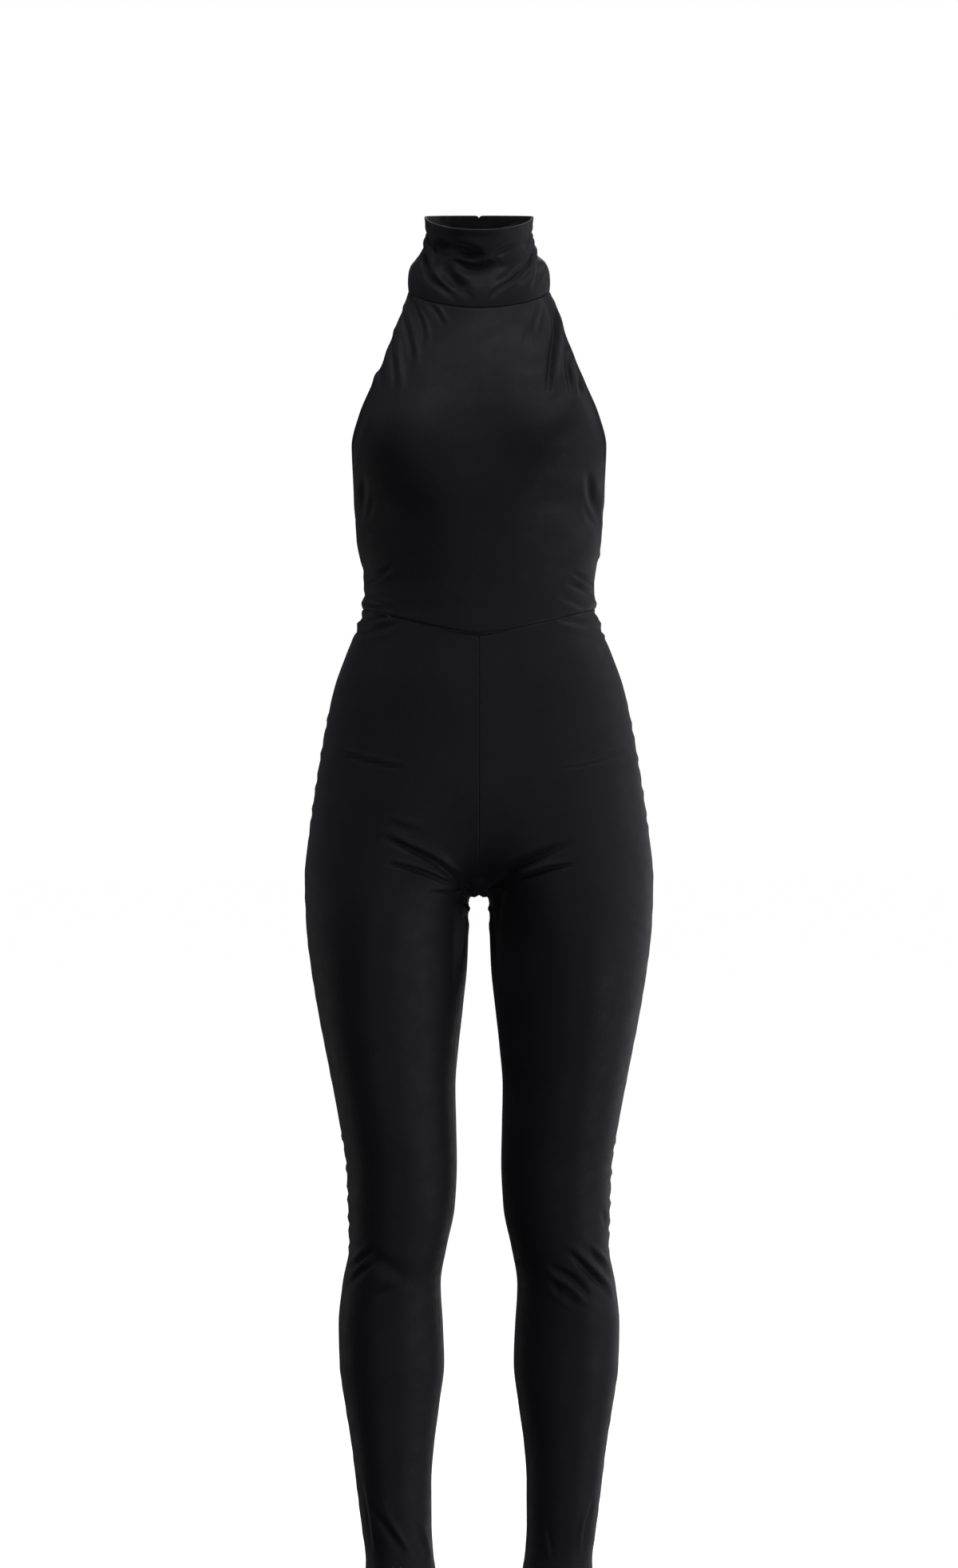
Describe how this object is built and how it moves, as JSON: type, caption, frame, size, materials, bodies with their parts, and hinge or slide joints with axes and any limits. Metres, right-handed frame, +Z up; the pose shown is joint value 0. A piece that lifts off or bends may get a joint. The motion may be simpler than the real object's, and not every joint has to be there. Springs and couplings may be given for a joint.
{
  "type": "halter-neck jumpsuit",
  "caption": "Sleeveless halter jumpsuit in its worn, hollow form: soft draped funnel collar, open back, V-shaped waist seam and slim full-length legs.",
  "frame": {"origin": "in the neck opening, level with the collar seam at the side of the neck, where the wearer's neck and shoulders carry the garment", "axes": "+Z up, the front of the garment faces -Y, the wearer's left is +X"},
  "size_m": [0.37, 0.2334, 1.4582],
  "materials": {
    "knit": "matt black crepe stretch knit with a faint sheen",
    "button_cover": "the same black knit stretched over a dome button"
  },
  "bodies": {
    "root": {"collar": "knit", "bodice_front_left": "knit", "bodice_front_right": "knit", "bodice_back_left": "knit", "bodice_back_right": "knit", "trouser_front_left": "knit", "trouser_front_right": "knit", "trouser_back_left": "knit", "trouser_back_right": "knit", "loop_upper": "knit", "loop_lower": "knit", "button_upper": "button_cover", "button_lower": "button_cover"}
  },
  "joints": []
}
